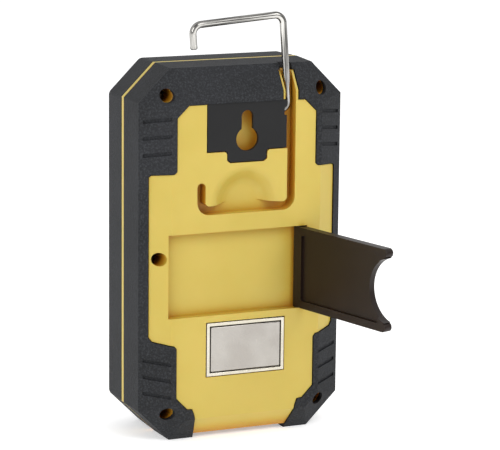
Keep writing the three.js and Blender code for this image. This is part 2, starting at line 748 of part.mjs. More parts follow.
// ---------- electronics ----------
const addElectronics = () => {
  const boardBack = driverY + boardThickness;
  const onBoard = boardBack + gap;
  const board = box([-halfWidth + 5, 25], [driverY, boardBack], [driverLow, driverHigh]);
  const chip = box([-4, 4], [onBoard, boardBack + 2], [driverLow + 6, driverLow + 14]);
  const inductor = rod('y', 4.4, onBoard, boardBack + 4.6, [13, driverLow + 9], 24);
  const capacitor = rod('y', 3.1, onBoard, boardBack + 6.6, [-14, driverLow + 10], 24);
  add('driver_board', board, '#1f6b3a', { roughness: 0.5 });
  add('driver_chip', chip, '#1c1c1e', { roughness: 0.5 });
  add('driver_inductor', inductor, '#2c2c2e', { roughness: 0.6 });
  add('driver_capacitor', capacitor, '#33415c', { roughness: 0.4 });
  const socketBox = (from, to, inset) => {
    const y = seamY + portMiddle;
    const deep = portOpening.deep / 2 - inset;
    const tall = portOpening.tall / 2 - inset;
    return box([from, to], [y - deep, y + deep], [portHeight - tall, portHeight + tall]);
  };
  const socketFront = -halfWidth + coreInset + 0.6;
  add('charge_socket', cut(
    socketBox(socketFront, socketFront + 7, 0.5),
    socketBox(socketFront - 3, socketFront + 5.4, 0.9),
  ), steel, { roughness: 0.3, metalness: 1 });

  add('button_board', box(
    [-11, 17],
    [switchBoardY, switchBoardY + switchBoardThickness],
    [buttonHeight - 7.5, buttonHeight + 7.5],
  ), '#1f6b3a', { roughness: 0.5 });
  add('button_switch', join(
    box([-3, 3], [switchBoardY - 2.6, switchBoardY - gap], [buttonHeight - 3, buttonHeight + 3]),
    rod('y', 1.6, switchBoardY - 3.4, switchBoardY - 2, [0, buttonHeight], 20),
  ), '#3b3b3d', { roughness: 0.5 });
  const pipeEnds = [frontY - 0.1, switchBoardY - gap];
  add('charge_light_pipe', rod('y', 0.8, ...pipeEnds, [13, buttonHeight], 16), '#f4f4ef', {
    roughness: 0.2,
  });
};

// ---------- power button ----------
const addButton = () => {
  const inner = switchBoardY - 3.4 - gap - buttonTravel;
  add('power_button', join(
    rod('y', buttonRadius, frontY - buttonProud, frontY + 3.2, [0, buttonHeight], 36),
    rod('y', 2, frontY + 3, inner, [0, buttonHeight], 20),
  ), '#2b2b2d', { roughness: 0.8 });
  add('button_ring', cut(
    rod('y', buttonRadius + 1.9, frontY - 0.5, frontY + 0.9, [0, buttonHeight], 40),
    rod('y', buttonRadius + gap, frontY - 3, frontY + 3, [0, buttonHeight], 40),
  ), black, { roughness: 0.6 });
};

// ---------- battery ----------
const addBattery = () => {
  const y = cellY;
  const top = cellBottom + cellLength;
  [['left', 1], ['right', -1]].forEach(([name, side]) => {
    const x = side * cellPitch / 2;
    add(`battery_cell_${name}`, join(
      rod('z', cellRadius, cellBottom, top, [x, y], 36),
      rod('z', 2.8, top - 0.5, top + 0.8, [x, y], 20),
    ), '#3f7fb5', { roughness: 0.4 });
  });
  add('battery_link', box([-15, 15], [y - 3, y + 3], [cellBottom - 0.7, cellBottom - gap]), steel, {
    roughness: 0.35, metalness: 1,
  });
  const room = cellPitch / 2 - cellRadius - gap;
  const cradleSpan = [y - cradleDeep, y + cradleDeep];
  const cradle = join(
    box([-cradleHalf, cradleHalf], cradleSpan, [cellBottom - 3, cellBottom - 1]),
    box([-cradleHalf, cradleHalf], cradleSpan, [top + 1.2, top + 2.6]),
    box([-room, room], cradleSpan, [cellBottom - 2, top + 2]),
  );
  const linkSeat = box([-15.3, 15.3], [y - 3.3, y + 3.3], [cellBottom - 1.05, cellBottom]);
  add('battery_cradle', cut(cradle, linkSeat), '#2e2f31', { roughness: 0.6 });
};

// ---------- leads, each held along its whole route inside the case ----------
const leadRadius = 0.6;
const addLead = (name, points, colour) => {
  const corners = points.map(([x, y, z]) => new THREE.Vector3(x, y, z));
  add(name, tube(corners, 1.6, leadRadius, 22, 3), colour, { roughness: 0.5 });
};
const addLeads = () => {
  const red = '#b3261e';
  const darkLead = '#1d1d1f';
  const cellTop = cellBottom + cellLength + 1;
  const boardBack = driverY + boardThickness + gap + leadRadius / 2;
  const boardFront = driverY - gap - leadRadius / 2;
  [['red', 1, red], ['black', -1, darkLead]].forEach(([name, side, colour]) => {
    addLead(`battery_lead_${name}`, [
      [side * 21, cellY, cellTop],
      [side * 24.5, cellY + 1.4, cellTop + 2],
      [side * 24.5, cellY + 2.4, driverLow + 3],
      [side * 20.6, cellY - 0.2, driverLow + 3],
      [side * 20.6, boardBack, driverLow + 3],
    ], colour);
  });
  const ledBack = ledBoardY + boardThickness;
  [['red', 12, red], ['black', 5, darkLead]].forEach(([name, up, colour]) => {
    const height = driverLow + up;
    addLead(`led_lead_${name}`, [
      [22, boardFront, height],
      [28.5, seamY - 1, height],
      [31.2, seamY - 5, height],
      [31.2, ledBack, height],
      [27, ledBack - 0.3, height],
    ], colour);
  });
  const switchBack = switchBoardY + switchBoardThickness + leadRadius + 0.2;
  addLead('button_lead', [
    [14, switchBack, buttonHeight + 4.5],
    [17, switchBack + 3.4, 28],
    [27, seamY - 3.4, 38],
    [27, seamY - 2.2, driverLow - 4],
    [20, boardFront - 0.1, driverLow + 2],
  ], '#d8d8d4');
};

// ---------- fasteners, plate, magnet and port cover ----------
const addScrews = () => wells.forEach(([x, z], i) => {
  const seat = seamY + screwSeat + gap;
  const driveA = box([x - 1.3, x + 1.3], [seat + 0.9, seat + 5], [z - 0.3, z + 0.3]);
  const driveB = box([x - 0.3, x + 0.3], [seat + 0.9, seat + 5], [z - 1.3, z + 1.3]);
  add(`case_screw_${i + 1}`, cut(join(
    rod('y', screwHeadRadius, seat, seat + 1.9, [x, z], 24, screwHeadRadius - 0.5),
    rod('y', screwRadius, seat - screwLength, seat + 0.5, [x, z], 12),
  ), driveA, driveB), '#5a5148', { roughness: 0.4, metalness: 1 });
});
const addPlate = () => {
  // the bend between pin and leg rolls through this relief in the plate's edge
  const bendRelief = box(
    [-plateHalf - 1, hookX + hookBend - 0.4],
    [backY - plateThickness - 1, backY + 1],
    [hookPivotHeight - wire / 2 - gap, hookPivotHeight + wire / 2 + gap],
  );
  add('hook_retainer_plate', cut(
    slab(plateOutline(0), backY - plateThickness, backY, 8),
    keyhole(0, backY - 9, backY + 3),
    bendRelief,
  ), '#2f3033', { roughness: 0.5 });
};
const addMagnet = () => {
  const w = magnetWidth / 2;
  const h = magnetHeight / 2;
  const back = backY - magnetDepth + gap;
  const cupFace = backY + 0.25;
  add('magnet_cup', cut(
    box([-w, w], [back, cupFace], [magnetMiddle - h, magnetMiddle + h]),
    box([-w + magnetWall, w - magnetWall], [back + 0.8, cupFace + 2],
      [magnetMiddle - h + magnetWall, magnetMiddle + h - magnetWall]),
  ), '#d8d4cc', { roughness: 0.3, metalness: 1 });
  const inW = w - magnetWall - 0.4;
  const inH = h - magnetWall - 0.4;
  const block = box([-inW, inW], [back + 1.1, cupFace], [magnetMiddle - inH, magnetMiddle + inH]);
  add('magnet', block, '#d2cfc9', { roughness: 0.25, metalness: 1 });
};
const addPortCover = () => {
  const x = -halfWidth + draft / 2 + 0.1;
  const deep = portCover.deep / 2;
  const tall = portCover.tall / 2;
  const y = seamY + portMiddle;
  add('port_cover', join(
    box([x, x + portCover.thick], [y - deep, y + deep], [portHeight - tall, portHeight + tall]),
    box([x + 1, x + portCover.thick + 1.4], [y - 1.2, y + 0.9], [portHeight - 3.9, portHeight + 3.9]),
  ), '#2c2c2e', { roughness: 0.9 });
};

addRearShell();
addRearBumper();
addFront();
addLightEngine();
addElectronics();
addButton();
addBattery();
addLeads();
addScrews();
addPlate();
addMagnet();
addPortCover();
addHook();
addStand();

export default root;
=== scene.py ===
# Pocket work light: finishes, rounded mouldings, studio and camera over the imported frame.
import json
import math

import bmesh
import bpy
import numpy as np
from mathutils import Matrix, Vector


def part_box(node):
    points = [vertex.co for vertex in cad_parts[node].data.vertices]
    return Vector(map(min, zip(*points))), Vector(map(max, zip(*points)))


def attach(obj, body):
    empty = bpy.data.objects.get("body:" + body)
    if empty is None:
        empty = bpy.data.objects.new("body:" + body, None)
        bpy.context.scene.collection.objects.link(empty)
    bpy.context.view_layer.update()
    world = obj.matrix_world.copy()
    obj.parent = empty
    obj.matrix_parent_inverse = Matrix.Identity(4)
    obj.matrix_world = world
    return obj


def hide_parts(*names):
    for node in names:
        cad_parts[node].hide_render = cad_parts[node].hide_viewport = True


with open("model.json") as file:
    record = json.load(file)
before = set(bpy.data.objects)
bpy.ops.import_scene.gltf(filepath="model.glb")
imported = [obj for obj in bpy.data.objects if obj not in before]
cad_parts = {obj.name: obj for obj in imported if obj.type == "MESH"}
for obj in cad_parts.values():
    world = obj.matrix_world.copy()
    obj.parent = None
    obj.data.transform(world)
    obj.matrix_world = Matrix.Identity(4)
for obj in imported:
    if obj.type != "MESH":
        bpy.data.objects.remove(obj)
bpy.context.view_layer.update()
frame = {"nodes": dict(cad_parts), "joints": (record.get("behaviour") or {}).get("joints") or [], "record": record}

mm = 0.001
print("frame loaded:", len(frame["nodes"]), "nodes")


def linear(hexColour):  # sRGB hex to the linear RGBA of shader sockets
    channels = [int(hexColour[i:i + 2], 16) / 255 for i in (1, 3, 5)]
    return tuple(c / 12.92 if c <= 0.04045 else ((c + 0.055) / 1.055) ** 2.4 for c in channels) + (1.0,)


def perMm(size):  # texture scale for one pattern cell per size in millimetres
    return 1.0 / (size * mm)


# Adds a node with its settings and links. An input goes by its name in camelCase, or by in0, in1 and so on.
def put(tree, kind, settings=None, **inputs):
    made = tree.nodes.new(kind)
    for name, value in (settings or {}).items():
        setattr(made, name, value)
    for name, value in inputs.items():
        if name[:2] == "in" and name[2:].isdigit():
            socket = made.inputs[int(name[2:])]
        else:
            socket = next(s for s in made.inputs
                          if s.enabled and s.name.replace(" ", "").lower() == name.lower())
        if isinstance(value, bpy.types.NodeSocket):
            tree.links.new(value, socket)
        else:
            socket.default_value = value
    return made


def newMaterial(name):
    material = bpy.data.materials.new(name)
    material.use_nodes = True
    material.node_tree.nodes.clear()
    return material, material.node_tree


def show(tree, shader):  # makes a shader what the surface shows
    put(tree, "ShaderNodeOutputMaterial", None, surface=shader.outputs[0])


# ABS and similar plastics from an eroded mould: an even satin skin, with a fine pebbled grain and slight
# clouding. The recess stops, where given, are painted shade and painted glow in hollows: how open a spot is, and
# the tint multiplied into its colour, orange as a hollow closes and dark brown in the deepest.
def mouldedPlastic(name, base, tint, roughness, grainMm, grainDepth, subsurface=0.0, specular=0.4,
                   recessShadeAndGlow=None):
    material, tree = newMaterial(name)
    spot = put(tree, "ShaderNodeTexCoord").outputs["Object"]
    cloud = put(tree, "ShaderNodeTexNoise", None, vector=spot, scale=perMm(22.0), detail=3.0).outputs[0]
    grain = put(tree, "ShaderNodeTexNoise", None, vector=spot, scale=perMm(grainMm), detail=2.0).outputs[0]
    pebble = put(tree, "ShaderNodeTexVoronoi", None, vector=spot, scale=perMm(grainMm * 1.6)).outputs[0]
    height = put(tree, "ShaderNodeMath", {"operation": "ADD"}, in0=grain, in1=pebble).outputs[0]
    shade = put(tree, "ShaderNodeMapRange", None, in0=cloud, in1=0.35, in2=0.65).outputs[0]
    colour = put(tree, "ShaderNodeMix", {"data_type": "RGBA"}, in0=shade, in6=linear(base),
                 in7=linear(tint)).outputs[2]
    # painted shade: ambient occlusion multiplies a darker, oranger tint into the colour in hollows, where less
    # light reaches
    if recessShadeAndGlow:
        openness = put(tree, "ShaderNodeAmbientOcclusion", {"samples": 8}, distance=7.0 * mm).outputs[1]
        recessShadeRamp = put(tree, "ShaderNodeValToRGB", None, in0=openness)
        stops = recessShadeRamp.color_ramp.elements
        for stop, (position, hexColour) in zip(stops, (recessShadeAndGlow[0], recessShadeAndGlow[-1])):
            stop.position = position
            stop.color = linear(hexColour)
        for position, hexColour in recessShadeAndGlow[1:-1]:
            stops.new(position).color = linear(hexColour)
        colour = put(tree, "ShaderNodeMix", {"data_type": "RGBA", "blend_type": "MULTIPLY"}, in0=1.0,
                     in6=colour, in7=recessShadeRamp.outputs[0]).outputs[2]
    dullness = put(tree, "ShaderNodeMapRange", None, in0=grain, in1=0.3, in2=0.7, in3=roughness - 0.05,
                   in4=roughness + 0.06).outputs[0]
    skin = put(tree, "ShaderNodeBump", None, strength=0.4, distance=grainDepth * mm, height=height).outputs[0]
    show(tree, put(tree, "ShaderNodeBsdfPrincipled", None, ior=1.5, subsurfaceWeight=subsurface,
                   subsurfaceScale=1.5 * mm, specularIORLevel=specular, baseColor=colour, roughness=dullness,
                   normal=skin))
    return material


# thermoplastic rubber with a coarse eroded skin: dull, nearly black, with paler grains
def softOvermould(name):
    material, tree = newMaterial(name)
    spot = put(tree, "ShaderNodeTexCoord").outputs["Object"]
    fine = put(tree, "ShaderNodeTexNoise", None, vector=spot, scale=perMm(0.7), detail=4.0,
               roughness=0.75).outputs[0]
    coarse = put(tree, "ShaderNodeTexNoise", None, vector=spot, scale=perMm(2.0), detail=3.0).outputs[0]
    wear = put(tree, "ShaderNodeTexNoise", None, vector=spot, scale=perMm(17.0), detail=4.0).outputs[0]
    cells = put(tree, "ShaderNodeTexVoronoi", None, vector=spot, scale=perMm(0.6)).outputs[0]
    worn = put(tree, "ShaderNodeMapRange", None, in0=wear, in1=0.35, in2=0.65).outputs[0]
    speck = put(tree, "ShaderNodeMapRange", None, in0=fine, in1=0.46, in2=0.72, in4=0.62).outputs[0]
    dark = put(tree, "ShaderNodeMix", {"data_type": "RGBA"}, in0=worn, in6=linear("#191a1c"),
               in7=linear("#202124")).outputs[2]
    colour = put(tree, "ShaderNodeMix", {"data_type": "RGBA"}, in0=speck, in6=dark,
                 in7=linear("#4a4c50")).outputs[2]
    small = put(tree, "ShaderNodeMath", {"operation": "ADD"}, in0=fine, in1=cells).outputs[0]
    height = put(tree, "ShaderNodeMath", {"operation": "MULTIPLY_ADD"}, in0=coarse, in1=0.8,
                 in2=small).outputs[0]
    dullness = put(tree, "ShaderNodeMapRange", None, in0=fine, in1=0.3, in2=0.7, in3=0.6, in4=0.85).outputs[0]
    skin = put(tree, "ShaderNodeBump", None, strength=0.7, distance=0.12 * mm, height=height).outputs[0]
    show(tree, put(tree, "ShaderNodeBsdfPrincipled", None, ior=1.45, specularIORLevel=0.3, baseColor=colour,
                   roughness=dullness, normal=skin))
    return material


# nickel-plated spring wire: bright, with dark drawing lines along its route, painted coarse and dark enough to be
# a painted reflection of dark surroundings as well
def platedWire(name):
    material, tree = newMaterial(name)
    route = put(tree, "ShaderNodeAttribute", {"attribute_name": "route"}).outputs["Vector"]
    stretched = put(tree, "ShaderNodeMapping", None, vector=route, scale=(0.03, 1.0, 1.0)).outputs[0]
    lines = put(tree, "ShaderNodeTexNoise", None, vector=stretched, scale=perMm(0.7), detail=3.0).outputs[0]
    smudge = put(tree, "ShaderNodeTexNoise", None, vector=route, scale=perMm(8.0), detail=3.0).outputs[0]
    drawnLinesAndReflection = put(tree, "ShaderNodeMapRange", None, in0=lines, in1=0.4, in2=0.6).outputs[0]
    # painted reflection: the colour swings from dark grey to pale across the drawing lines, darker than the lines
    # alone, standing in for dark surroundings reflected along the wire
    colour = put(tree, "ShaderNodeMix", {"data_type": "RGBA"}, in0=drawnLinesAndReflection, in6=linear("#565553"),
                 in7=linear("#cfcdc8")).outputs[2]
    dullness = put(tree, "ShaderNodeMapRange", None, in0=smudge, in1=0.3, in2=0.7, in3=0.1,
                   in4=0.2).outputs[0]
    skin = put(tree, "ShaderNodeBump", None, strength=0.4, distance=0.04 * mm, height=lines).outputs[0]
    show(tree, put(tree, "ShaderNodeBsdfPrincipled", None, metallic=1.0, baseColor=colour, roughness=dullness,
                   normal=skin))
    return material


# plated, rolled or ground metal: fine straight lines and faint clouds in a soft shine
def lined(name, base, tint, roughness, lineMm, along=(1.0, 0.04, 1.0)):
    material, tree = newMaterial(name)
    spot = put(tree, "ShaderNodeTexCoord").outputs["Object"]
    stretched = put(tree, "ShaderNodeMapping", None, vector=spot, scale=along).outputs[0]
    lines = put(tree, "ShaderNodeTexNoise", None, vector=stretched, scale=perMm(lineMm),
                detail=4.0).outputs[0]
    cloud = put(tree, "ShaderNodeTexNoise", None, vector=spot, scale=perMm(11.0), detail=3.0).outputs[0]
    shade = put(tree, "ShaderNodeMapRange", None, in0=cloud, in1=0.35, in2=0.65).outputs[0]
    colour = put(tree, "ShaderNodeMix", {"data_type": "RGBA"}, in0=shade, in6=linear(base),
                 in7=linear(tint)).outputs[2]
    dullness = put(tree, "ShaderNodeMapRange", None, in0=lines, in1=0.3, in2=0.7, in3=roughness - 0.05,
                   in4=roughness + 0.08).outputs[0]
    skin = put(tree, "ShaderNodeBump", None, strength=0.15, distance=0.01 * mm, height=lines).outputs[0]
    show(tree, put(tree, "ShaderNodeBsdfPrincipled", None, metallic=1.0, baseColor=colour, roughness=dullness,
                   normal=skin))
    return material


# clear moulded polycarbonate with faint flow waves, which lets lamp light through unbent
def clearPlastic(name):
    material, tree = newMaterial(name)
    spot = put(tree, "ShaderNodeTexCoord").outputs["Object"]
    waves = put(tree, "ShaderNodeTexNoise", None, vector=spot, scale=perMm(30.0), detail=1.0).outputs[0]
    dullness = put(tree, "ShaderNodeMapRange", None, in0=waves, in3=0.03, in4=0.07).outputs[0]
    skin = put(tree, "ShaderNodeBump", None, strength=0.1, distance=0.05 * mm, height=waves).outputs[0]
    glassy = put(tree, "ShaderNodeBsdfPrincipled", None, ior=1.58, transmissionWeight=0.96,
                 baseColor=linear("#fbfbfa"), roughness=dullness, normal=skin)
    rays = put(tree, "ShaderNodeLightPath").outputs
    passing = put(tree, "ShaderNodeMath", {"operation": "MAXIMUM"}, in0=rays["Is Shadow Ray"],
                  in1=rays["Is Diffuse Ray"]).outputs[0]
    clear = put(tree, "ShaderNodeBsdfTransparent", None, in0=linear("#f7f7f5"))
    show(tree, put(tree, "ShaderNodeMixShader", None, in0=passing, in1=glassy.outputs[0],
                   in2=clear.outputs[0]))
    return material


# silicone gel loaded with phosphor: deep yellow, with the pale dots of the chips under it
def phosphorGel(name):
    material, tree = newMaterial(name)
    spot = put(tree, "ShaderNodeTexCoord").outputs["Object"]
    flat = put(tree, "ShaderNodeMapping", None, vector=spot, scale=(1.0, 0.0, 1.0)).outputs[0]
    grain = put(tree, "ShaderNodeTexNoise", None, vector=spot, scale=perMm(0.6), detail=4.0).outputs[0]
    chips = put(tree, "ShaderNodeTexVoronoi", None, vector=flat, scale=perMm(3.2), randomness=0.0).outputs[0]
    gel = put(tree, "ShaderNodeMix", {"data_type": "RGBA"}, in0=grain, in6=linear("#e2ab14"),
              in7=linear("#f0c02a")).outputs[2]
    dots = put(tree, "ShaderNodeMapRange", None, in0=chips, in1=0.2, in2=0.34, in3=0.75, in4=0.0).outputs[0]
    colour = put(tree, "ShaderNodeMix", {"data_type": "RGBA"}, in0=dots, in6=gel,
                 in7=linear("#f6e58c")).outputs[2]
    dullness = put(tree, "ShaderNodeMapRange", None, in0=grain, in3=0.3, in4=0.45).outputs[0]
    skin = put(tree, "ShaderNodeBump", None, strength=0.3, distance=0.05 * mm, height=grain).outputs[0]
    show(tree, put(tree, "ShaderNodeBsdfPrincipled", None, ior=1.42, subsurfaceWeight=0.2,
                   subsurfaceScale=0.8 * mm, baseColor=colour, roughness=dullness, normal=skin))
    return material


# painted shade and painted glow for hollows in the yellow plastic: by openness, dark brown where nearly closed,
# orange a little further out, white (no change) in the open
paintedRecessShadeAndGlow = ((0.04, "#3c1f05"), (0.13, "#ffc65e"), (0.35, "#f6c47c"), (0.62, "#fff2ba"), (0.9, "#ffffff"))
materials = {
    "yellow_abs": mouldedPlastic("yellowAbs", "#bfa84b", "#c4ad52", 0.44, 0.3, 0.02, subsurface=0.14,
                                 recessShadeAndGlow=paintedRecessShadeAndGlow),
    "black_rubber": softOvermould("softOvermould"),
    "black_plastic": mouldedPlastic("blackSatinPlastic", "#101011", "#151516", 0.45, 0.25, 0.015,
                                    specular=0.28),
    "stand_plastic": mouldedPlastic("darkStandPlastic", "#1a0f0a", "#1f130d", 0.4, 0.25, 0.01,
                                    specular=0.28),
    "hook_steel": platedWire("platedWire"),
    "pin_steel": lined("groundPin", "#b4b4b2", "#c2c2c0", 0.3, 0.2),
    "magnet_nickel": lined("nickelMagnet", "#a9a49e", "#b5b1ab", 0.3, 0.25),
    "cup_steel": lined("platedCup", "#cbc5b4", "#d6d1c4", 0.28, 0.25),
    "screw_steel": lined("blackenedScrew", "#564a3e", "#6a5e52", 0.36, 0.2),
    "lens_clear": clearPlastic("clearPolycarbonate"),
    "reflector_white": mouldedPlastic("whiteReflector", "#e9e9e6", "#efefec", 0.22, 0.3, 0.005),
    "board_white": mouldedPlastic("whiteBoard", "#dcdcd6", "#e3e3de", 0.35, 0.3, 0.005),
    "phosphor": phosphorGel("phosphorGel"),
    "heat_aluminium": lined("extrudedAluminium", "#a9abad", "#b8babb", 0.34, 0.3, (1.0, 1.0, 0.03)),
    "board_green": mouldedPlastic("greenBoard", "#17492b", "#1c5633", 0.3, 0.4, 0.01),
    "component_black": mouldedPlastic("componentBlack", "#18181a", "#1e1e20", 0.5, 0.2, 0.01),
    "capacitor_blue": mouldedPlastic("capacitorSleeve", "#2b3a57", "#31425f", 0.3, 0.5, 0.005),
    "socket_steel": lined("socketShell", "#bdbdba", "#c8c8c5", 0.28, 0.2),
    "cell_wrap": mouldedPlastic("cellSleeve", "#2f6f9f", "#3678a8", 0.25, 0.6, 0.005),
    "link_nickel": lined("nickelStrip", "#c4c0b8", "#d0ccc5", 0.3, 0.2),
    "gasket_rubber": mouldedPlastic("gasketSilicone", "#3a3a3c", "#404042", 0.7, 0.3, 0.02),
    "button_rubber": mouldedPlastic("buttonSilicone", "#232325", "#29292b", 0.6, 0.3, 0.02),
    "lead_red": mouldedPlastic("leadRed", "#a31d16", "#ad251d", 0.4, 0.3, 0.005),
    "lead_black": mouldedPlastic("leadBlack", "#161618", "#1c1c1e", 0.4, 0.3, 0.005),
    "lead_white": mouldedPlastic("leadWhite", "#d9d9d5", "#e0e0dc", 0.4, 0.3, 0.005),
    "pipe_clear": mouldedPlastic("lightPipe", "#ecece8", "#f2f2ee", 0.15, 0.5, 0.003),
}
slotOf = {row["node"]: row["material_slot"] for row in frame["record"]["subparts"]}
bodyOf = {node: body for body, nodes in frame["record"]["behaviour"]["bodies"].items() for node in nodes}
for node, obj in frame["nodes"].items():
    obj.data.materials.clear()
    obj.data.materials.append(materials[slotOf[node]])
print("materials made:", len(materials))


def addMesh(name, mesh):
    obj = bpy.data.objects.new(name, mesh)
    bpy.context.scene.collection.objects.link(obj)
    return obj


def place(obj, node, replaced=True):  # puts a piece on its node's body, with the node's finish
    obj.data.materials.clear()
    obj.data.materials.append(materials[slotOf[node]])
    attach(obj, bodyOf[node])
    if replaced:
        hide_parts(node)
    return obj


# Quads between rings of points, each ring closed on itself: ring r and side s meet r + 1 and s + 1.
def ringFaces(rings, sides, closed=False):
    ring, side = np.meshgrid(np.arange(rings if closed else rings - 1), np.arange(sides), indexing="ij")
    above, beside = (ring + 1) % rings, (side + 1) % sides
    corners = (ring * sides + side, ring * sides + beside, above * sides + beside, above * sides + side)
    return np.stack(corners, axis=-1).reshape(-1, 4).tolist()


def surface(name, points, faces):  # a smooth closed mesh, its poles merged and its faces outwards
    mesh = bpy.data.meshes.new(name)
    mesh.from_pydata(points.reshape(-1, 3).tolist(), [], faces)
    bm = bmesh.new()
    bm.from_mesh(mesh)
    bmesh.ops.remove_doubles(bm, verts=bm.verts, dist=0.0001 * mm)
    bmesh.ops.recalc_face_normals(bm, faces=bm.faces)
    bm.to_mesh(mesh)
    bm.free()
    mesh.shade_smooth()
    return mesh


scoop = {"radius": 13.0, "height": 87.3, "behind": 20.0, "roll": 2.0}


def inScoop(line):  # the thumb scoop's rims are arcs of short lines
    x, y, z = (line.verts[0].co + line.verts[1].co) / 2
    return math.hypot(x, z - scoop["height"] * mm) < scoop["radius"] * mm and y > scoop["behind"] * mm


# the node's solid with its flat faces merged whole, its gentle folds rolled and its edges rounded
def withEdges(node, name, edge, fold=None, foldTo=52.0, sharpFrom=26.0):
    mesh = frame["nodes"][node].data.copy()
    mesh.name = name
    bm = bmesh.new()
    bm.from_mesh(mesh)
    bmesh.ops.remove_doubles(bm, verts=bm.verts, dist=0.004 * mm)
    bmesh.ops.dissolve_limit(bm, angle_limit=math.radians(0.6), verts=bm.verts, edges=bm.edges)
    if fold:
        folds = [line for line in bm.edges if sharpFrom < math.degrees(line.calc_face_angle(0.0)) < foldTo]
        rims = [line for line in folds if inScoop(line)] if node == "rear_shell" else []
        plain = [line for line in folds if line.calc_length() > 2.5 * mm and line not in rims]
        for chosen, offset in ((rims, scoop["roll"]), (plain, fold)):
            bmesh.ops.bevel(bm, geom=[line for line in chosen if line.is_valid], offset=offset * mm,
                            segments=4, profile=0.5, affect="EDGES", clamp_overlap=True)
    bm.to_mesh(mesh)
    bm.free()
    mesh.shade_smooth()
    obj = addMesh(name, mesh)
    bevel = obj.modifiers.new("moulded edges", "BEVEL")
    bevel.width = edge * mm
    bevel.segments = 3
    bevel.limit_method = "ANGLE"
    bevel.angle_limit = math.radians(sharpFrom)
    bevel.use_clamp_overlap = True
    flats = obj.modifiers.new("flat faces", "WEIGHTED_NORMAL")
    flats.mode = "FACE_AREA"
    flats.weight = 100
    return place(obj, node)


# radius of the edges in mm, and of the gentle folds where one is given
edges = {
    "rear_shell": ("rearShellMoulded", 0.4, 1.0),
    "front_shell": ("frontShellMoulded", 0.4, 1.0),
    "rear_bumper": ("rearBumperMoulded", 0.6, 1.5),
    "front_bumper": ("frontBumperMoulded", 0.6, 1.5),
    "kickstand": ("standMoulded", 0.4, None),
    "hook_retainer_plate": ("retainerPlateMoulded", 0.25, None),
    "magnet": ("magnetBlock", 0.35, None),
    "magnet_cup": ("magnetCupPressed", 0.2, None),
    "port_cover": ("portCoverMoulded", 0.35, None),
    "button_ring": ("buttonRingMoulded", 0.3, None),
    "lens": ("lensMoulded", 0.4, None),
    "charge_light_pipe": ("lightPipeMoulded", 0.15, None),
    **{f"case_screw_{i}": (f"screw{i}Forged", 0.12, None) for i in range(1, 7)},
}
for node, (name, edge, fold) in edges.items():
    withEdges(node, name, edge, fold)
print("mouldings rounded:", len(edges))


hook = {"wire": 2.6, "bend": 3.2, "reach": 34.7, "bar": 35.1, "back": 8.6, "pin": 10.4,
        "chamfer": 0.35, "sides": 28, "bendSteps": 12, "straightStep": 2.0}


# A planar route of straight runs and round bends: each corner is left r / tan(a / 2) before it, and the
# bend turns about a point r / sin(a / 2) along the corner's bisector.
def routeOf(corners, radius, bendSteps, straightStep):
    points = [corners[0]]

    def straightTo(end):
        start = points[-1]
        count = max(1, round((end - start).length / straightStep))
        points.extend(start.lerp(end, i / count) for i in range(1, count + 1))

    for before, corner, after in zip(corners, corners[1:], corners[2:]):
        one = (before - corner).normalized()
        two = (after - corner).normalized()
        angle = one.angle(two)
        centre = corner + (one + two).normalized() * (radius / math.sin(angle / 2))
        start = corner + one * (radius / math.tan(angle / 2)) - centre
        end = corner + two * (radius / math.tan(angle / 2)) - centre
        straightTo(centre + start)
        points.extend(centre + start.normalized().slerp(end.normalized(), i / bendSteps) * radius
                      for i in range(1, bendSteps + 1))
    straightTo(corners[-1])
    return points


# Rings of a round section along the route, square to it, with chamfered and capped ends.
# The route attribute holds the length along the wire and the place round it, both in metres.
def addHook():
    joint = next(j for j in frame["joints"] if j["name"] == "hook_swing")
    axis, pivot = Vector(joint["axis"]), Vector(joint["pos_m"])
    stowed = [-axis * hook["pin"], Vector(), Vector((0, 0, -hook["reach"])),
              Vector((hook["bar"], 0, -hook["reach"])),
              Vector((hook["bar"], 0, hook["back"] - hook["reach"]))]
    raised = Matrix.Rotation(math.pi, 3, axis)
    corners = [pivot + raised @ corner * mm for corner in stowed]
    line = routeOf(corners, hook["bend"] * mm, hook["bendSteps"], hook["straightStep"] * mm)
    chamfer = hook["chamfer"] * mm
    inward = [(line[1] - line[0]).normalized() * chamfer, (line[-2] - line[-1]).normalized() * chamfer]
    line = [line[0], line[0] + inward[0]] + line[1:-1] + [line[-1] + inward[1], line[-1]]
    radii = np.full(len(line), hook["wire"] / 2 * mm)
    radii[[0, -1]] -= chamfer
    points = np.array(line)
    along = np.gradient(points, axis=0)
    along /= np.linalg.norm(along, axis=1)[:, None]
    out = np.array((0.0, 1.0, 0.0))
    side = np.cross(along, out)
    turn = np.linspace(0, 2 * math.pi, hook["sides"], endpoint=False)
    ring = np.cos(turn)[None, :, None] * side[:, None, :] + np.sin(turn)[None, :, None] * out
    places = points[:, None, :] + ring * radii[:, None, None]
    length = np.concatenate(([0], np.cumsum(np.linalg.norm(np.diff(points, axis=0), axis=1))))
    around = np.stack([np.broadcast_to(length[:, None], ring.shape[:2]),
                       np.cos(turn)[None, :] * radii[:, None],
                       np.sin(turn)[None, :] * radii[:, None]], axis=2)
    n, count = hook["sides"], len(line)
    caps = [list(range(n))[::-1], list(range((count - 1) * n, count * n))]
    mesh = surface("hookWireDrawn", places, ringFaces(count, n) + caps)
    for polygon in mesh.polygons[-2:]:
        polygon.use_smooth = False
    mesh.attributes.new("route", "FLOAT_VECTOR", "POINT").data.foreach_set("vector", around.reshape(-1))
    place(addMesh("hookWireDrawn", mesh), "hook_wire")


addHook()
print("hook drawn")


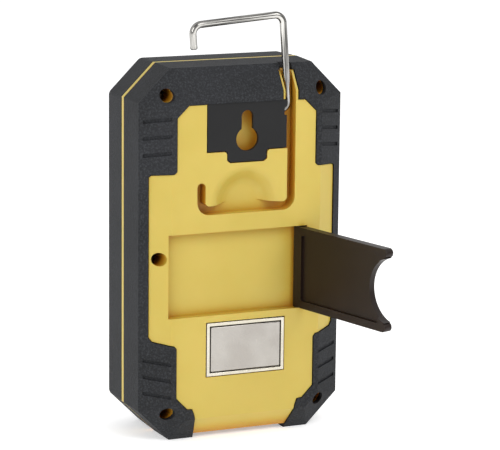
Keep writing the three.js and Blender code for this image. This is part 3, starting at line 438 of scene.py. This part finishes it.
# A turned piece: each point of the profile (radius, height) in mm goes round an axis along Y, to
# centre + (radius cos t, height, radius sin t).
def lathed(name, profile, centre, sides=72):
    turn = np.linspace(0, 2 * math.pi, sides, endpoint=False)
    radius, height = np.array(profile).T[:, :, None] * mm
    around = (radius * np.cos(turn), height + 0 * turn, radius * np.sin(turn))
    points = np.stack(around, axis=-1) + np.array(centre)
    return surface(name, points, ringFaces(len(profile), sides))


button = {"round": 0.8, "dish": 0.45, "dishRadius": 5.2, "ridge": 0.18, "ridgeRadius": 2.6,
          "ridgeWidth": 0.35, "chamfer": 0.3, "stem": 2.0, "skirt": 4.1}


# The crown is a dish that rises as the square of the radius, less one ridge shaped like a bell curve,
# inside a quarter-round rim. A stem stands behind the skirt.
def addButton():
    low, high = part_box("power_button")
    radius, deep = (high.x - low.x) / 2 / mm, (high.y - low.y) / mm
    centre = Vector(((low.x + high.x) / 2, low.y, (low.z + high.z) / 2))
    r, rim, stem, skirt = button["round"], button["chamfer"], button["stem"], button["skirt"]
    share = np.linspace(0, 1, 13)
    at = share * button["dishRadius"]
    ridge = button["ridge"] * np.exp(-((at - button["ridgeRadius"]) / button["ridgeWidth"]) ** 2)
    ridge[0] = 0
    dish = np.stack((at, button["dish"] * (1 - share ** 2) - ridge), axis=1)
    turn = np.linspace(0, math.pi / 2, 7)
    edge = np.stack((radius - r + r * np.sin(turn), r - r * np.cos(turn)), axis=1)
    back = [(radius, skirt - rim), (radius - rim, skirt), (stem + rim, skirt), (stem, skirt + rim),
            (stem, deep - 0.2), (stem - 0.2, deep), (0, deep)]
    profile = np.concatenate((dish, edge, back))
    place(addMesh("powerButtonMoulded", lathed("powerButtonMoulded", profile, centre)), "power_button")


addButton()

dam = {"wide": 1.3, "tall": 0.9, "corner": 3.4, "steps": 10}


# White silicone bead round the gel: a half-round section carried along a rounded rectangle. A point is
# the corner's centre plus (corner + across) times its direction, and stands off by the section's height.
def addDam():
    low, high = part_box("led_phosphor")
    half, corner, steps = dam["wide"] / 2 * mm, dam["corner"] * mm, dam["steps"]
    signs = np.repeat([(1, 1), (-1, 1), (-1, -1), (1, -1)], steps + 1, axis=0)
    turn = (np.arange(4)[:, None] + np.linspace(0, 1, steps + 1)).reshape(-1) * math.pi / 2
    middle = np.array(((low.x + high.x) / 2, (low.z + high.z) / 2))
    reach = np.array(((high.x - low.x) / 2, (high.z - low.z) / 2)) + half - corner
    centres = middle + signs * reach
    arc = np.linspace(0, math.pi, 9)
    out = corner - half * np.cos(arc)
    x = centres[:, :1] + np.cos(turn)[:, None] * out
    z = centres[:, 1:] + np.sin(turn)[:, None] * out
    y = np.broadcast_to(high.y - dam["tall"] * mm * np.sin(arc), x.shape)
    mesh = surface("gelDam", np.stack((x, y, z), axis=-1), ringFaces(len(turn), len(arc), closed=True))
    place(addMesh("gelDam", mesh), "reflector_tray", replaced=False)


addDam()
print("button and light panel detailed")


studio = {"floorSize": 8.0, "floorColour": "#fafafa", "floorGlow": 0.38, "front": 0.95, "behind": 0.32,
          "backdrop": 1.0}
lamps = {
    "keyLight": {"power": 6.0, "size": 0.7, "azimuth": 205, "elevation": 40, "distance": 1.1},
    "sideLight": {"power": 4.5, "size": 0.6, "azimuth": 128, "elevation": 25, "distance": 1.2},
}
sight = {"azimuth": 156.09, "elevation": 11.52, "roll": 0.61, "distance": 0.9186, "lens": 183.2,
         "across": -1.35 * mm, "up": 79.0 * mm}


def sightLine(azimuth, elevation):  # direction of view from a camera that stands at those angles
    a, e = math.radians(azimuth), math.radians(elevation)
    return Vector((-math.sin(a) * math.cos(e), math.cos(a) * math.cos(e), -math.sin(e)))


def addStage():
    half = studio["floorSize"] / 2
    corners = [(-half, -half, 0), (half, -half, 0), (half, half, 0), (-half, half, 0)]
    mesh = bpy.data.meshes.new("studioFloor")
    mesh.from_pydata(corners, [], [(0, 1, 2, 3)])
    floor = addMesh("studioFloor", mesh)
    material, tree = newMaterial("paleFloor")
    show(tree, put(tree, "ShaderNodeBsdfPrincipled", None, baseColor=linear(studio["floorColour"]),
                   roughness=0.9, emissionColor=(1, 1, 1, 1), emissionStrength=studio["floorGlow"]))
    floor.data.materials.append(material)


# White to the camera. For light it is bright on the far side and dim behind the camera, like a tent
# that is open on that side.
def addSky():
    world = bpy.data.worlds.new("studioTent")
    bpy.context.scene.world = world
    world.use_nodes = True
    tree = world.node_tree
    tree.nodes.clear()
    towards = put(tree, "ShaderNodeTexCoord").outputs["Generated"]
    depth = put(tree, "ShaderNodeSeparateXYZ", None, in0=towards).outputs[1]
    glow = put(tree, "ShaderNodeMapRange", None, in0=depth, in1=-0.25, in2=0.55, in3=studio["front"],
               in4=studio["behind"]).outputs[0]
    seen = put(tree, "ShaderNodeLightPath").outputs["Is Camera Ray"]
    strength = put(tree, "ShaderNodeMix", {"data_type": "FLOAT"}, in0=seen, in2=glow, in3=studio["backdrop"])
    background = put(tree, "ShaderNodeBackground", None, in0=(1, 1, 1, 1), in1=strength.outputs[0])
    put(tree, "ShaderNodeOutputWorld", None, surface=background.outputs[0])


def addLamps():
    middle = Vector((0, 0, 70 * mm))
    for name, lamp in lamps.items():
        light = bpy.data.lights.new(name, "AREA")
        light.energy = lamp["power"]
        light.size = lamp["size"]
        obj = bpy.data.objects.new(name, light)
        bpy.context.scene.collection.objects.link(obj)
        direction = sightLine(lamp["azimuth"], lamp["elevation"])
        obj.location = middle - direction * lamp["distance"]
        obj.rotation_euler = direction.to_track_quat("-Z", "Y").to_euler()


def addCamera():
    camera = bpy.data.cameras.new("camera")
    camera.lens = sight["lens"]
    camera.sensor_width = 36.0
    obj = bpy.data.objects.new("camera", camera)
    bpy.context.scene.collection.objects.link(obj)
    view = sightLine(sight["azimuth"], sight["elevation"])
    right = view.cross(Vector((0, 0, 1))).normalized()
    up = right.cross(view)
    roll = math.radians(sight["roll"])
    turnedRight = right * math.cos(roll) + up * math.sin(roll)
    turnedUp = up * math.cos(roll) - right * math.sin(roll)
    turn = Matrix((turnedRight, turnedUp, -view)).transposed().to_4x4()
    aim = Vector((sight["across"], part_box("hook_retainer_plate")[1].y, sight["up"]))
    obj.matrix_world = Matrix.Translation(aim - view * sight["distance"]) @ turn
    bpy.context.scene.camera = obj


addStage()
addSky()
addLamps()
addCamera()
bpy.context.scene.view_settings.view_transform = "Standard"
print("stage, lights and camera set")
